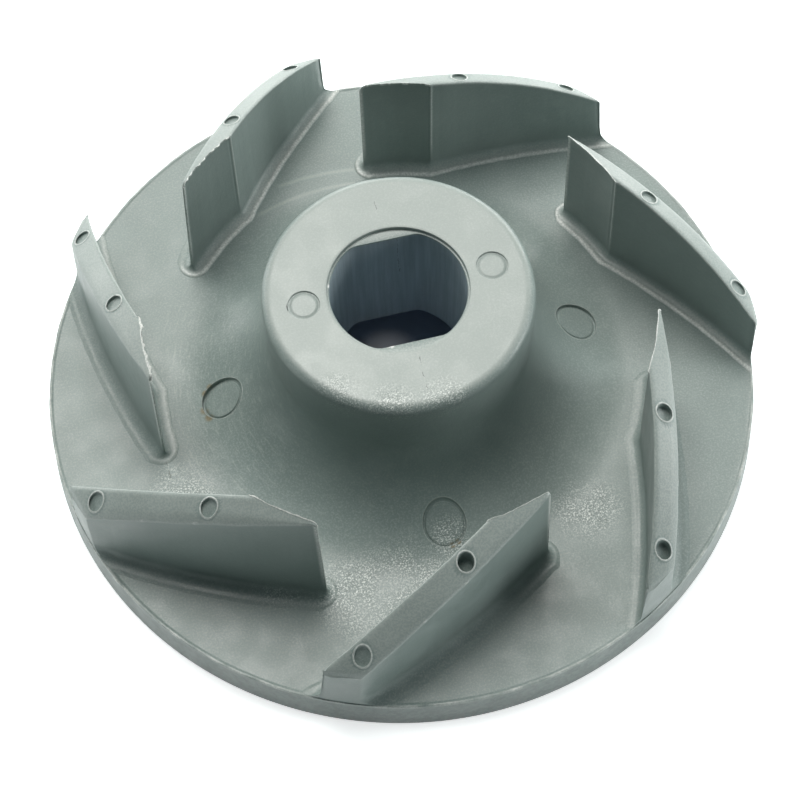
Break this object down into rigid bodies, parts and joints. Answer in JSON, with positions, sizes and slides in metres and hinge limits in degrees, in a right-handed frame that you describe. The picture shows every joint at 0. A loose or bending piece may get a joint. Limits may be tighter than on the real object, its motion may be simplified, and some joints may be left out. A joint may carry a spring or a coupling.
{
  "type": "semi-open pump impeller",
  "caption": "Semi-open centrifugal pump impeller moulded in grey-green plastic, with swept blades on a round disc, a flared hub and a shaft hole with two flats.",
  "frame": {"origin": "centre of the back face of the disc, on the shaft axis", "axes": "+Z along the shaft axis, from the back face towards the blades and the hub's top; the flats of the shaft hole are parallel to X"},
  "size_m": [0.0718, 0.0718, 0.0196],
  "materials": {
    "plastic": "satin grey-green moulded plastic with a faint glass-fibre grain"
  },
  "bodies": {
    "root": {"impeller": "plastic"}
  },
  "joints": []
}
